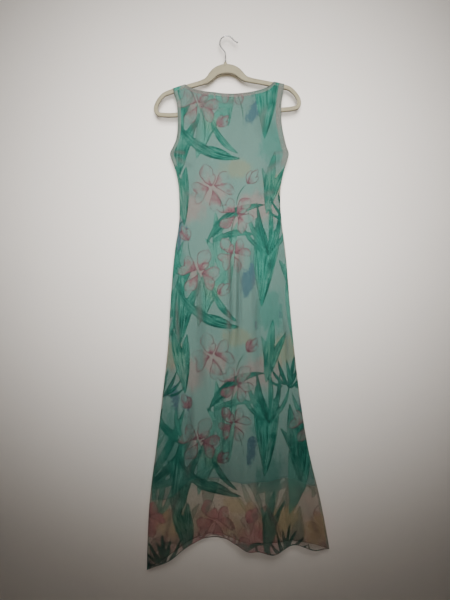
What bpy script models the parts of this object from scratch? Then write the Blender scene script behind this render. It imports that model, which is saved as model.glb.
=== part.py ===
"""A long sleeveless dress of printed sheer mesh over a mint lining, hanging on a slim flocked hanger.

Metres, +Z up, front towards -Y. The origin is the inner crown of the hanger's hook, where a rail or a
wall hook carries it. The dress is two mesh panels, front and back, sewn at the sides and the shoulders,
and a shorter lining of the same two pieces inside them. The narrow turned edges of the neck, armholes
and hem lie on the panels. Every cloth piece is a patch of one surface, point(), moved along its normal.
"""

import math

import bpy
import numpy as np

# Cloth
WALL = 0.0010            # thickness of one layer
SEAM_GAP = 0.0003        # clearance between two sewn pieces
LAYER = WALL + SEAM_GAP  # from one layer's middle to the next one's

# Where the pieces end, in the panel's own measures. across is -1 and 1 at the side edges. up is 0 at the
# hem, 1 at the lining's lower edge, 2 at the underarm and 3 at the top edge
HEM_TOP = 0.023          # the rolled hem, 4.7 mm
LINING_TOP = 2.944       # the lining stops 10 mm below the neck
EDGE_LOW = 2.974         # the turned edge of the neck, 4.7 mm
EDGE_SHARE = 0.027       # the turned edge of an armhole, 4.5 mm, and the seam allowance at the sides
LINING_SHARE = 0.068     # the lining's inset from the armholes, 11 mm

# Hanger
FOOT_X, FOOT_Z = -0.0045, -0.0822    # foot of the hook, on top of the hanger's arch
TILT = math.radians(2.8)             # the hanger hangs with its right arm up
HANGER_THICK = 0.0080
HANGER_EDGE = 0.0028                 # chamfer of the hanger's section
ARM_START_X, ARM_START_Z = 0.0735, -0.0447   # top line of an arm, from the hanger's foot
ARM_SLOPE = -0.258
SEAM_LIFT = (0.0022, 0.0015)         # the shoulder seam's middle above the arm, at the neck and outside
SEAM_ROUND = 0.0070                  # height over which the cloth bends over the arm
WIRE_RADIUS = 0.0018
HOOK_RADIUS = 0.0213                 # middle of the wire, so the rail's crown is at z = 0
HOOK_BALL = 0.0027

# Outline of the cloth: height, left edge and right edge
SIDES = np.array([
    # z       left     right
    (-0.140, -0.1662,  0.1716),   # shoulder
    (-0.157, -0.1628,  0.1703),
    (-0.181, -0.1557,  0.1662),
    (-0.205, -0.1497,  0.1629),
    (-0.235, -0.1473,  0.1623),   # armhole, narrowest
    (-0.265, -0.1467,  0.1640),
    (-0.290, -0.1485,  0.1684),
    (-0.312, -0.1533,  0.1740),
    (-0.331, -0.1617,  0.1792),
    (-0.349, -0.1707,  0.1857),   # underarm
    (-0.375, -0.1629,  0.1806),
    (-0.406, -0.1530,  0.1707),
    (-0.445, -0.1455,  0.1626),
    (-0.490, -0.1428,  0.1599),   # waist
    (-0.550, -0.1431,  0.1638),
    (-0.640, -0.1557,  0.1752),   # hip
    (-0.790, -0.1689,  0.1878),
    (-0.940, -0.1779,  0.2022),   # knee
    (-1.090, -0.1947,  0.2205),
    (-1.240, -0.2127,  0.2448),
    (-1.390, -0.2313,  0.2802),
    (-1.540, -0.2388,  0.3078),   # hem
    (-1.610, -0.2400,  0.3180),
])
UNDERARM_Z = -0.349

# How far the front and back stand off the middle plane at mid-width
DEPTHS = np.array([
    # z       front   back
    (-0.140,  0.0064, 0.0064),
    (-0.170,  0.0080, 0.0076),
    (-0.250,  0.0110, 0.0100),
    (-0.349,  0.0140, 0.0120),
    (-0.490,  0.0130, 0.0120),
    (-0.640,  0.0150, 0.0135),
    (-0.940,  0.0165, 0.0150),
    (-1.240,  0.0175, 0.0160),
    (-1.610,  0.0165, 0.0170),
])
SEAM_DEPTH = (WALL + SEAM_GAP) / 2   # at a side seam the two panels lie face to face
ARMHOLE_DEPTH = 0.0066               # at the armhole they pass in front of and behind the hanger
ARMHOLE_OPENS = 0.100                # height over which the armhole reaches that

# The boat neck, from one shoulder's neck point to the other. Its ends are lifted to the shoulder seams.
NECKLINE = np.array([
    # x        z
    (-0.1290, -0.1440),
    (-0.1160, -0.1537),
    (-0.1017, -0.1598),
    (-0.0807, -0.1648),
    (-0.0507, -0.1693),
    ( 0.0033, -0.1743),
    ( 0.0603, -0.1707),
    ( 0.0843, -0.1662),
    ( 0.1053, -0.1602),
    ( 0.1302, -0.1480),
    ( 0.1422, -0.1351),
])
BACK_NECK_RISE = 0.0040              # the back neck stands this much higher at its middle

# The hem's height across the dress, -1 at the left seam to 1 at the right
HEM = np.array([
    # across   z
    (-1.000, -1.6000),
    (-0.745, -1.5620),
    (-0.526, -1.5200),
    (-0.255, -1.5015),
    ( 0.096, -1.5275),
    ( 0.359, -1.5320),
    ( 0.611, -1.5234),
    ( 0.874, -1.5310),
    ( 1.000, -1.5372),
])

# The lining's lower edge in the same way
LINING_HEM = np.array([
    # across   z
    (-1.000, -1.3900),
    (-0.760, -1.3790),
    (-0.640, -1.3530),
    (-0.530, -1.3280),
    (-0.350, -1.3200),
    (-0.120, -1.3270),
    ( 0.150, -1.3330),
    ( 0.410, -1.3240),
    ( 0.620, -1.3190),
    ( 0.760, -1.3270),
    ( 0.880, -1.3400),
    ( 1.000, -1.3500),
])

# Folds: where each starts and ends, its half-widths, and how far it moves each side outwards.
# One with fade 1 dies out at its lower end, and one with fade 0 is widest open there, at the hem.
FOLDS = np.array([
    # top z   top x    low z    low x   top w  low w   front    back   fade
    (-0.560,  0.0270, -1.400,  0.0000, 0.014, 0.020,  0.0060,  0.0020, 1),   # centre ridge
    (-0.980, -0.1350, -1.580, -0.1750, 0.018, 0.034,  0.0120,  0.0060, 0),   # left flute
    (-1.080, -0.0250, -1.500, -0.0360, 0.030, 0.046, -0.0300,  0.0090, 0),   # arch
    (-1.150,  0.0450, -1.530,  0.0640, 0.016, 0.026,  0.0180, -0.0040, 0),   # first flute
    (-1.050,  0.1050, -1.530,  0.1340, 0.020, 0.034,  0.0280,  0.0060, 0),   # second flute
    (-1.150,  0.1700, -1.530,  0.2010, 0.016, 0.026, -0.0120,  0.0080, 0),   # hollow
    (-1.100,  0.2150, -1.540,  0.2650, 0.016, 0.030,  0.0260,  0.0060, 0),   # right flute
])

# The cloth's cells: across the neck, up the body and up the bodice
NECK_CELLS, BODY_CELLS, BODICE_CELLS = 12, 12, 5
NECK_BEND = np.array([0, 0.012, 0.035])  # the columns where the neck's ends turn over the hanger's arm

# Colours of the parts
MESH_MINT = (0.33, 0.55, 0.49)
LINING_MINT = (0.50, 0.70, 0.63)
EDGE_ROSE = (0.42, 0.38, 0.36)
FLOCK_BEIGE = (0.55, 0.51, 0.42)
STEEL = (0.62, 0.61, 0.58)


# ---------------------------------------------------------------- curves

def curve(at, knots, values):
    """A smooth curve through a table's rows: a cubic between each two, with their mean slope at each."""
    order = np.argsort(knots)
    knots, values = knots[order], values[order]
    slopes = np.gradient(values, knots)
    at = np.clip(at, knots[0], knots[-1])
    i = np.clip(np.searchsorted(knots, at) - 1, 0, len(knots) - 2)
    step = knots[i + 1] - knots[i]
    t = (at - knots[i]) / step
    return (
        values[i] * (1 + 2 * t) * (1 - t) ** 2
        + values[i + 1] * t * t * (3 - 2 * t)
        + step * (slopes[i] * t * (1 - t) ** 2 - slopes[i + 1] * t * t * (1 - t))
    )


def ease(t):
    """0 to 1 with level ends."""
    t = np.clip(t, 0, 1)
    return t * t * (3 - 2 * t)


def mix(a, b, t):
    return a + (b - a) * t


# ---------------------------------------------------------------- the dress's surface

def tilted(x, z):
    """A point of the hanger, measured from its foot, where the tilted hanger has it."""
    turned_x = x * math.cos(TILT) - z * math.sin(TILT)
    turned_z = x * math.sin(TILT) + z * math.cos(TILT)
    return FOOT_X + turned_x, FOOT_Z + turned_z


def shoulder_height(x):
    """Height of the cloth's middle where it lies over the hanger's arms, which are two straight lines."""
    heights = []
    for side in (-1, 1):
        ends = [tilted(side * u, ARM_START_Z + ARM_SLOPE * (u - ARM_START_X)) for u in (0.08, 0.18)]
        (x0, z0), (x1, z1) = ends
        heights.append(z0 + (z1 - z0) * (x - x0) / (x1 - x0))
    lift = mix(*SEAM_LIFT, np.clip((np.abs(x) - 0.13) / 0.035, 0, 1))
    return np.where(x < 0, heights[0], heights[1]) + lift


def top_height(x, is_back):
    """The cloth's top edge: the shoulder seams, and the neckline between them."""
    left, right = NECKLINE[0, 0], NECKLINE[-1, 0]
    share = (x - left) / (right - left)
    rise = is_back * BACK_NECK_RISE * ease(4 * share) * ease(4 * (1 - share))
    heights = NECKLINE[:, 1].copy()
    heights[[0, -1]] = shoulder_height(NECKLINE[[0, -1], 0])
    neck = curve(x, NECKLINE[:, 0], heights) + rise
    return np.where((share < 0) | (share > 1), shoulder_height(x), neck)


def fold_height(x, z, column):
    """How far the folds move a side outwards at (x, z). Each is a bell across, that opens on its way down
    and reaches its full height at its lower end, or fades out again there."""
    total = np.zeros_like(x)
    for top_z, top_x, low_z, low_x, top_w, low_w, front, back, fade in FOLDS:
        t = (top_z - z) / (top_z - low_z)
        opening = np.where(fade, ease(t / 0.3) * (1 - ease((t - 0.7) / 0.3)), ease(t * 0.75) * 32 / 27)
        middle = mix(top_x, low_x, np.clip(t, 0, 1.1))
        width = mix(top_w, low_w, np.clip(t, 0, 1.1))
        total += (front, back)[column] * opening * np.exp(-(((x - middle) / width) ** 2))
    return total


def point(is_back, across, up):
    """The middle of a panel's wall, for across and up as in the table of where the pieces end."""
    left_top, right_top = SIDES[0, 1], SIDES[0, 2]
    share = (across + 1) / 2

    def level(at, top):
        hem, lining = curve(at, HEM[:, 0], HEM[:, 1]), curve(at, LINING_HEM[:, 0], LINING_HEM[:, 1])
        skirt, body, bodice = np.clip(up, 0, 1), np.clip(up - 1, 0, 1), np.clip(up - 2, 0, 1)
        return hem + (lining - hem) * skirt + (UNDERARM_Z - lining) * body + (top - UNDERARM_Z) * bodice

    z = level(across, top_height(mix(left_top, right_top, share), is_back))
    left_z, right_z = level(-1, shoulder_height(left_top)), level(1, shoulder_height(right_top))
    x = mix(curve(left_z, SIDES[:, 0], SIDES[:, 1]), curve(right_z, SIDES[:, 0], SIDES[:, 2]), share)

    edge = mix(SEAM_DEPTH, ARMHOLE_DEPTH, ease((z - UNDERARM_Z) / ARMHOLE_OPENS))
    middle = curve(z, DEPTHS[:, 0], DEPTHS[:, 1 + is_back])
    bulge = 1 - across**4
    depth = edge + (middle - edge) * bulge + fold_height(x, z, is_back) * (1 - across**6)
    over_arm = (z - shoulder_height(x) + SEAM_ROUND) / SEAM_ROUND
    depth = SEAM_GAP / 2 + (depth - SEAM_GAP / 2) * np.sqrt(1 - np.clip(over_arm, 0, 1) ** 2)
    return np.stack([x, depth if is_back else -depth, z], axis=-1)


def normal(is_back, across, up):
    """The panel's outward unit normal, from its slopes. At the shoulder it is kept in the seam's plane."""
    step = 1e-4
    inside = np.clip(across, -1 + step, 1 - step)
    below = np.clip(up, step, 3 - step)
    along = point(is_back, inside + step, below) - point(is_back, inside - step, below)
    upward = point(is_back, inside, below + step) - point(is_back, inside, below - step)
    n = np.cross(along, upward) * (-1 if is_back else 1)
    here = point(is_back, across, up)
    at_seam = (up > 3 - 1e-9) & (np.abs(here[..., 1]) < SEAM_GAP)
    n[..., 1] = np.where(at_seam, 0, n[..., 1])
    return n / np.linalg.norm(n, axis=-1, keepdims=True)


def columns():
    """Values of across for the panel's columns: the edge's, the lining's, the shoulder's and the neck's."""
    left_top, right_top = SIDES[0, 1], SIDES[0, 2]
    neck_left, neck_right = (2 * (NECKLINE[[0, -1], 0] - left_top) / (right_top - left_top)) - 1
    edge, inset = 1 - EDGE_SHARE, 1 - LINING_SHARE
    return np.concatenate([
        [-1, -edge, -inset, (neck_left - inset) / 2],
        neck_left + NECK_BEND,
        np.linspace(neck_left + 0.08, neck_right - 0.08, NECK_CELLS + 1),
        neck_right - NECK_BEND[::-1],
        [(neck_right + inset) / 2, inset, edge, 1],
    ])


def rows():
    """Values of up for the panel's rows, closer at the waist and where the cloth bends over the arm."""
    return np.concatenate([
        [0, HEM_TOP, 0.35, 0.68],
        1 + np.linspace(0, 1, BODY_CELLS + 1)[:-1] ** 0.85,
        np.linspace(2, 2.87, BODICE_CELLS + 1),
        [LINING_TOP, EDGE_LOW, 2.990, 3],
    ])


# ---------------------------------------------------------------- meshes

def material(name, colour, roughness, metallic=0.0):
    made = bpy.data.materials.new(name)
    made.use_nodes = True
    shader = made.node_tree.nodes["Principled BSDF"]
    shader.inputs["Base Color"].default_value = (*colour, 1)
    shader.inputs["Roughness"].default_value = roughness
    shader.inputs["Metallic"].default_value = metallic
    return made


def add_object(name, points, faces, finish, smooth_angle=50):
    mesh = bpy.data.meshes.new(name)
    mesh.from_pydata(np.reshape(points, (-1, 3)).tolist(), [], faces)
    mesh.materials.append(finish)
    mesh.shade_smooth()
    mesh.set_sharp_from_angle(angle=math.radians(smooth_angle))
    made = bpy.data.objects.new(name, mesh)
    bpy.context.scene.collection.objects.link(made)
    return made


def cloth(name, is_back, inside, moved, finish):
    """A wall on those of the panel's cells whose middles are inside(across, up), its own middle moved
    outwards from the panel's. Each cell is two triangles, cut the same way in every layer."""
    across, up = np.meshgrid(columns(), rows())
    kept = inside((across[:-1, :-1] + across[1:, 1:]) / 2, (up[:-1, :-1] + up[1:, 1:]) / 2)
    middle, out = point(is_back, across, up), normal(is_back, across, up)
    layers = np.stack([middle + (moved + WALL / 2) * out, middle + (moved - WALL / 2) * out])
    index = np.arange(across.size).reshape(across.shape)
    corners = [index[:-1, :-1], index[:-1, 1:], index[1:, 1:], index[1:, :-1]]
    a, b, c, d = corners
    outer = np.concatenate([np.stack([a, b, c], axis=-1)[kept], np.stack([a, c, d], axis=-1)[kept]])
    faces = outer.tolist() + (outer[:, ::-1] + across.size).tolist()
    beyond = np.pad(kept, 1)
    neighbours = [beyond[:-2, 1:-1], beyond[1:-1, 2:], beyond[2:, 1:-1], beyond[1:-1, :-2]]
    for side, neighbour in enumerate(neighbours):
        rim = kept & ~neighbour
        p, q = corners[side][rim], corners[(side + 1) % 4][rim]
        faces += np.stack([q, p, p + across.size, q + across.size], axis=-1).tolist()
    if is_back:
        faces = [face[::-1] for face in faces]
    used = sorted({corner for face in faces for corner in face})
    place = {corner: k for k, corner in enumerate(used)}
    faces = [[place[corner] for corner in face] for face in faces]
    return add_object(name, layers.reshape(-1, 3)[used], faces, finish)


def tube(name, path, radii, finish, sides=12):
    """A round wire along a path in the XZ plane, with a radius at each point and closed ends."""
    path = np.asarray(path)
    ahead = np.gradient(path, axis=0)
    ahead /= np.linalg.norm(ahead, axis=1, keepdims=True)
    out = np.stack([-ahead[:, 1], ahead[:, 0]], axis=1)
    turn = np.linspace(0, 2 * math.pi, sides, endpoint=False)
    flat = path[:, None] + np.cos(turn)[None, :, None] * out[:, None] * radii[:, None, None]
    deep = np.broadcast_to(np.sin(turn) * radii[:, None], flat.shape[:2])
    rings = np.stack([flat[..., 0], deep, flat[..., 1]], axis=-1)
    count = len(path)
    faces = [list(range(sides)), [(count - 1) * sides + k for k in range(sides - 1, -1, -1)]]
    for ring in range(count - 1):
        for k in range(sides):
            a, b = ring * sides + k, ring * sides + (k + 1) % sides
            faces.append([b, a, a + sides, b + sides])
    return add_object(name, rings, faces, finish)


# ---------------------------------------------------------------- the hanger

# Right half of the hanger's loop, from the middle of the arch round the end to the middle of the bar:
# the middle of the section and its height across the loop
LOOP = np.array([
    # x        z        height
    (0.0000, -0.0147, 0.0294),
    (0.0150, -0.0165, 0.0284),
    (0.0290, -0.0220, 0.0262),
    (0.0400, -0.0305, 0.0234),
    (0.0490, -0.0403, 0.0206),
    (0.0585, -0.0478, 0.0182),
    (0.0720, -0.0525, 0.0164),
    (0.1080, -0.0613, 0.0152),
    (0.1450, -0.0708, 0.0152),
    (0.1740, -0.0783, 0.0150),
    (0.1870, -0.0832, 0.0140),
    (0.1995, -0.0940, 0.0130),
    (0.2095, -0.1080, 0.0125),
    (0.2148, -0.1225, 0.0125),
    (0.2132, -0.1345, 0.0128),
    (0.2060, -0.1418, 0.0134),
    (0.1950, -0.1438, 0.0138),
    (0.1000, -0.1438, 0.0138),
    (0.0000, -0.1438, 0.0138),
])


def hanger_body(finish):
    """A flat bar with chamfered edges, carried round the loop: arch, arm, end, trouser bar and back."""
    left = LOOP[-2:0:-1] * (-1, 1, 1)
    loop = np.concatenate([LOOP, left])
    ahead = np.roll(loop[:, :2], -1, axis=0) - np.roll(loop[:, :2], 1, axis=0)
    ahead /= np.linalg.norm(ahead, axis=1, keepdims=True)
    out = np.stack([-ahead[:, 1], ahead[:, 0]], axis=1)
    deep, flat = HANGER_THICK / 2, HANGER_THICK / 2 - HANGER_EDGE
    rings = []
    for (x, z, height), (out_x, out_z) in zip(loop, out):
        tall, less = height / 2, height / 2 - HANGER_EDGE
        section = [(tall, flat), (less, deep), (-less, deep), (-tall, flat),
                   (-tall, -flat), (-less, -deep), (less, -deep), (tall, -flat)]
        rings.append([(x + out_x * a, b, z + out_z * a) for a, b in section])
    rings = np.array(rings)
    rings[..., 0], rings[..., 2] = tilted(rings[..., 0], rings[..., 2])
    count, sides = rings.shape[:2]
    faces = []
    for ring in range(count):
        after = (ring + 1) % count
        for k in range(sides):
            other = (k + 1) % sides
            faces.append([ring * sides + other, after * sides + other, after * sides + k, ring * sides + k])
    body = add_object("hanger_body", rings, faces, finish)
    add_hook_boss(body, finish)
    return body


def add_hook_boss(body, finish):
    """A low cone on the arch that the hook's stem turns in, joined to the hanger."""
    sides = 16
    turn = np.linspace(0, 2 * math.pi, sides, endpoint=False)
    profile = [
        # half-width, half-depth, z
        (0.0070, 0.0037, -0.0890),
        (0.0070, 0.0037, -0.0827),
        (0.0034, 0.0034, -0.0765),
    ]
    rings = [
        np.stack([FOOT_X + wide * np.cos(turn), deep * np.sin(turn), np.full(sides, z)], axis=1)
        for wide, deep, z in profile
    ]
    faces = [list(range(sides - 1, -1, -1)), [2 * sides + k for k in range(sides)]]
    for ring in range(2):
        for k in range(sides):
            a, b = ring * sides + k, ring * sides + (k + 1) % sides
            faces.append([a, b, b + sides, a + sides])
    boss = add_object("hook_boss_union", np.array(rings), faces, finish)
    boss.hide_render = True
    boss.display_type = "WIRE"
    joint = body.modifiers.new("boss", "BOOLEAN")
    joint.operation = "UNION"
    joint.object = boss


def hanger_hook(finish):
    """A wire hook: the stem, an easy bend to the left, most of a circle, and a turned-out ball tip."""
    middle_z = WIRE_RADIUS - HOOK_RADIUS
    turn = np.radians(np.linspace(213, 25, 22))
    circle = np.stack([HOOK_RADIUS * np.cos(turn), middle_z + HOOK_RADIUS * np.sin(turn)], axis=1)
    stem = [(FOOT_X, z) for z in (-0.0762, -0.0700, -0.0600, -0.0530)]
    bend = [(-0.0050, -0.0490), (-0.0070, -0.0450), (-0.0103, -0.0405), (-0.0143, -0.0357)]
    tip = [(0.0226, -0.0122), (0.0254, -0.0148), (0.0282, -0.0164)]
    path = np.concatenate([stem, bend, circle, tip])
    radii = np.full(len(path), WIRE_RADIUS)
    ball_at = np.array([0.0310, -0.0176])
    way = (ball_at - path[-1]) / np.linalg.norm(ball_at - path[-1])
    angles = np.radians([138, 100, 62, 24])
    ball = ball_at - HOOK_BALL * np.cos(angles)[:, None] * -way
    order = np.argsort((ball - path[-1]) @ way)
    path = np.concatenate([path, ball[order]])
    radii = np.concatenate([radii, (HOOK_BALL * np.sin(angles))[order]])
    tube("hanger_hook", path, radii, finish)


def main():
    for old in list(bpy.data.objects):
        bpy.data.objects.remove(old)
    mesh = material("printed_mesh", MESH_MINT, 0.85)
    mint = material("mint_lining", LINING_MINT, 0.8)
    turned = material("turned_edge", EDGE_ROSE, 0.85)
    neck_left, neck_right = columns()[5], columns()[-6]
    edge, inset = 1 - EDGE_SHARE, 1 - LINING_SHARE

    def everywhere(across, up):
        return up > 0

    def lined(across, up):
        return (up > 1) & (up < LINING_TOP) & (np.abs(across) < np.where(up < 2, edge, inset))

    def at_neck(across, up):
        return (up > EDGE_LOW) & (across > neck_left) & (across < neck_right)

    def at_left_armhole(across, up):
        return (up > 2) & (across < -edge)

    def at_right_armhole(across, up):
        return (up > 2) & (across > edge)

    def at_hem(across, up):
        return up < HEM_TOP

    for is_back, name in ((0, "front"), (1, "back")):
        cloth(f"{name}_panel", is_back, everywhere, 0, mesh)
        cloth(f"{name}_lining", is_back, lined, -LAYER, mint)
        cloth(f"{name}_neck_edge", is_back, at_neck, LAYER, turned)
        cloth(f"{name}_left_armhole_edge", is_back, at_left_armhole, LAYER, turned)
        cloth(f"{name}_right_armhole_edge", is_back, at_right_armhole, LAYER, turned)
        cloth(f"{name}_hem", is_back, at_hem, LAYER, turned)
    hanger_body(material("flocked_hanger", FLOCK_BEIGE, 0.95))
    hanger_hook(material("steel_wire", STEEL, 0.3, 1.0))


main()
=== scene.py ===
"""A sleeveless maxi dress of printed sheer mesh over a shorter mint lining, on a flocked hanger.

Metres, +Z up, front towards -Y, origin at the inner crown of the hanger's hook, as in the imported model.
The sections follow the object as it is put together: the room, the hanger and its hook, the printed
mesh panels, the lining inside them, the turned edges, the side seams and the stitching.
"""
import math

import bpy
import numpy as np
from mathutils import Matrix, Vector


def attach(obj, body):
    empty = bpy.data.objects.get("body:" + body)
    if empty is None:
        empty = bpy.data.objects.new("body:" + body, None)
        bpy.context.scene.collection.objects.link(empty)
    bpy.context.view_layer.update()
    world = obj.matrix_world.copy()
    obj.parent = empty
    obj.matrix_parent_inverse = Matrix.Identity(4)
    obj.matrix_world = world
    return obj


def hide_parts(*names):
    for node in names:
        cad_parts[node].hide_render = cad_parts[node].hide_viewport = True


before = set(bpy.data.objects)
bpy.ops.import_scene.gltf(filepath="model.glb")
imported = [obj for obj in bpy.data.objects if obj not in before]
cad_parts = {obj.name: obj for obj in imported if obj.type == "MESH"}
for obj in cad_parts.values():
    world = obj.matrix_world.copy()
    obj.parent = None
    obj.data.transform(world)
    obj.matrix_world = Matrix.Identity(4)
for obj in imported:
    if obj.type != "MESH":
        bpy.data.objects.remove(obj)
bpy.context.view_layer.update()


# ---------------------------------------------------------------- the room
# A pale painted wall close behind the hanger, and a pale floor. Both show from the dress's side only.
# A wide softbox high in front and a smaller one below it both throw narrow cones, so that the wall gets
# darker towards the floor. Other lights stand at the sides and behind.

WALL_Y = 0.034
FLOOR_Z = -1.95
WALL_PAINT = (0.70, 0.645, 0.585)
LIGHTS = [
    # name        watts  width  height  spread  place                  aimed at
    ("softbox",    5.6,  1.3,   0.6,    54,     (0.10, -2.00, 0.30),   (0.05, 0.0, -0.52)),
    ("front",     10.2,  0.8,   0.8,    54,     (0.05, -2.00, -0.45),  (0.0, 0.0, -0.40)),
    ("left_side",  6.0,  1.2,   1.2,    170,    (-2.2, 0.8, 0.3),      (0.0, 0.0, -0.8)),
    ("right_side", 6.0,  1.2,   1.2,    170,    (2.2, 0.8, 0.3),       (0.0, 0.0, -0.8)),
    ("rear",      14.0,  1.6,   1.6,    36,     (0.2, 2.4, 0.2),       (0.0, 0.0, -0.6)),
]
AMBIENT, AMBIENT_STRENGTH = (0.80, 0.79, 0.77, 1), 0.02
EYE, LENS = (-0.0057, -1.35, -0.7902), 27     # the camera's place and its focal length in millimetres


class Socket:
    """A shader socket that is added, subtracted and scaled like a number: each sign makes a Math node."""

    def __init__(self, tree, socket=None):
        self.tree, self.socket = tree, socket

    def node(self, kind, settings=None, inputs=None, output=0):
        """Makes a node: its settings first, then its sockets' values or links."""
        made = self.tree.nodes.new(kind)
        for name, value in (settings or {}).items():
            setattr(made, name, value)
        for name, value in (inputs or {}).items():
            if isinstance(value, Socket):
                self.tree.links.new(value.socket, made.inputs[name])
            else:
                made.inputs[name].default_value = value
        return Socket(self.tree, made.outputs[output])

    def math(self, operation, *values):
        return self.node("ShaderNodeMath", {"operation": operation}, dict(enumerate((self, *values))))

    def __add__(self, other):
        return self.math("ADD", other)

    def __sub__(self, other):
        return self.math("SUBTRACT", other)

    def __mul__(self, other):
        return self.math("MULTIPLY", other)

    def __rsub__(self, other):
        return self.node("ShaderNodeMath", {"operation": "SUBTRACT"}, {0: other, 1: self})

    __radd__, __rmul__ = __add__, __mul__

    def ramp(self, low, high):
        """0 below low and 1 above high, or the other way round if low is the higher, with soft ends."""
        settings = {"interpolation_type": "SMOOTHSTEP"}
        if low < high:
            return self.node("ShaderNodeMapRange", settings, {0: self, 1: low, 2: high})
        return self.node("ShaderNodeMapRange", settings, {0: self, 1: high, 2: low, 3: 1.0, 4: 0.0})

    def between(self, first, second):
        """The colour that is first where this socket is 0 and second where it is 1."""
        first, second = (c if isinstance(c, Socket) else (*c, 1) for c in (first, second))
        return self.node("ShaderNodeMix", {"data_type": "RGBA"}, {0: self, 6: first, 7: second}, output=2)

    def noise(self, scale, detail=2.0, stretch=(1, 1, 1)):
        """Cloudy noise on this socket's coordinates, about 0.5."""
        placed = self.node("ShaderNodeMapping", {}, {"Vector": self, "Scale": stretch})
        inputs = {"Vector": placed, "Scale": scale, "Detail": detail}
        return self.node("ShaderNodeTexNoise", {}, inputs)

    def attribute(self, name):
        return self.node("ShaderNodeAttribute", {"attribute_name": name}, output="Fac")


def new_material(name, **constants):
    """A material with one Principled shader, its constants set. Gives it, its shader and its coordinates."""
    made = bpy.data.materials.new(name)
    made.use_nodes = True
    shader = made.node_tree.nodes["Principled BSDF"]
    for socket, value in constants.items():
        shader.inputs[socket.replace("_", " ")].default_value = value
    place = Socket(made.node_tree).node("ShaderNodeTexCoord", output="Object")
    return made, shader, place


def feed(shader, **sockets):
    """Links each of our sockets to the shader's input of that name."""
    for name, socket in sockets.items():
        socket.tree.links.new(socket.socket, shader.inputs[name.replace("_", " ")])


def bump(height, distance, strength=1.0):
    """The normal of a surface with that height, in metres when the height is 1."""
    return height.node("ShaderNodeBump", {}, {"Height": height, "Distance": distance, "Strength": strength})


def added(name, data):
    """An object of that mesh, light or camera, linked to the scene."""
    made = bpy.data.objects.new(name, data)
    bpy.context.scene.collection.objects.link(made)
    return made


def new_piece(name, points, faces, material, smooth_angle=60):
    """An object at the origin, with its place in its mesh, shaded smooth up to that angle."""
    mesh = bpy.data.meshes.new(name)
    points = np.asarray(points, float).reshape(-1, 3)
    faces = np.asarray(faces)
    mesh.from_pydata(points.tolist(), [], faces.tolist())
    mesh.materials.append(material)
    mesh.shade_smooth()
    mesh.set_sharp_from_angle(angle=math.radians(smooth_angle))
    return added(name, mesh)


def one_sided(name, colour):
    """Matt paint that is only there from the side its faces point to, so it hides nothing from behind."""
    made, shader, place = new_material(name, Roughness=0.9)
    tone = place.noise(3.0, 3.0).ramp(0.2, 0.8)
    feed(shader, Base_Color=tone.between([c * 0.97 for c in colour], colour))
    tree = made.node_tree
    back = Socket(tree).node("ShaderNodeNewGeometry", output="Backfacing")
    clear = Socket(tree).node("ShaderNodeBsdfTransparent")
    shown = back.node("ShaderNodeMixShader", {}, {0: back, 1: Socket(tree, shader.outputs[0]), 2: clear})
    tree.links.new(shown.socket, tree.nodes["Material Output"].inputs["Surface"])
    return made


def room_sheet(name, corners, material):
    """One flat sheet of the room, which casts no shadow and isn't part of the object."""
    mesh = bpy.data.meshes.new(name)
    mesh.from_pydata(corners, [], [range(4)])
    mesh.materials.append(material)
    made = added(name, mesh)
    made.visible_shadow = False


def aim(made, place, at):
    """Puts an object at place, turned so that it looks at a point."""
    made.location = place
    away = Vector(at) - Vector(place)
    made.rotation_euler = away.to_track_quat("-Z", "Y").to_euler()


wall_paint = one_sided("wall_paint", WALL_PAINT)
wall_corners = [(x, WALL_Y, z) for x, z in ((-6, FLOOR_Z), (6, FLOOR_Z), (6, 4), (-6, 4))]
floor_corners = [(x, y, FLOOR_Z) for x, y in ((-6, -8), (6, -8), (6, 6), (-6, 6))]
room_sheet("wall", wall_corners, wall_paint)
room_sheet("floor", floor_corners, wall_paint)

for name, watts, width, height, spread, place, at in LIGHTS:
    light = bpy.data.lights.new(name, "AREA")
    light.shape, light.size, light.size_y = "RECTANGLE", width, height
    light.energy, light.spread = watts, math.radians(spread)
    lamp = added(name, light)
    lamp.visible_camera = False
    aim(lamp, place, at)

camera = bpy.data.cameras.new("camera")
camera.sensor_fit, camera.sensor_width, camera.sensor_height, camera.lens = "AUTO", 36, 36, LENS
viewer = added("camera", camera)
aim(viewer, EYE, (EYE[0], 0, EYE[2]))
bpy.context.scene.camera = viewer

world = bpy.data.worlds.new("room_light")
world.use_nodes = True
background = world.node_tree.nodes["Background"].inputs
background["Color"].default_value, background["Strength"].default_value = AMBIENT, AMBIENT_STRENGTH
bpy.context.scene.world = world


# ---------------------------------------------------------------- the hanger
# A slim moulded plastic hanger in one piece: arch, two sloping arms, rounded ends and a trouser bar.
# It has a rounded section, and it is covered in short beige flock. Its underside is painted darker, as
# painted shade.

FOOT_X, FOOT_Z = -0.0045, -0.0822    # foot of the hook, on top of the arch
TILT = math.radians(2.8)             # the hanger hangs with its right arm up
HANGER_THICK = 0.0080
HANGER_ROUND = 2.7                   # how square the section is: 2 is an ellipse
FLOCK_BEIGE, FLOCK_WORN = (0.250, 0.220, 0.145), (0.205, 0.180, 0.115)
FLOCK_PAINTED_SHADE = (0.050, 0.040, 0.028)  # painted shade for the moulding's underside

# Right half of the loop, from the middle of the arch round the end to the middle of the bar:
# the middle of the section and its height across the loop
LOOP = np.array([
    # x, z and height in millimetres
    (0, -14.7, 29.4), (15, -16.5, 28.4), (29, -22, 26.2), (40, -30.5, 23.4), (49, -40.3, 20.6),
    (58.5, -47.8, 18.2), (72, -52.5, 16.4), (108, -61.3, 15.2), (145, -70.8, 15.2), (174, -78.3, 15),
    (187, -83.2, 14), (199.5, -94, 13), (209.5, -108, 12.5), (214.8, -122.5, 12.5),
    (213.2, -134.5, 12.8), (206, -141.8, 13.4), (195, -143.8, 13.8), (100, -143.8, 13.8),
    (0, -143.8, 13.8),
]) / 1000


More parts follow.
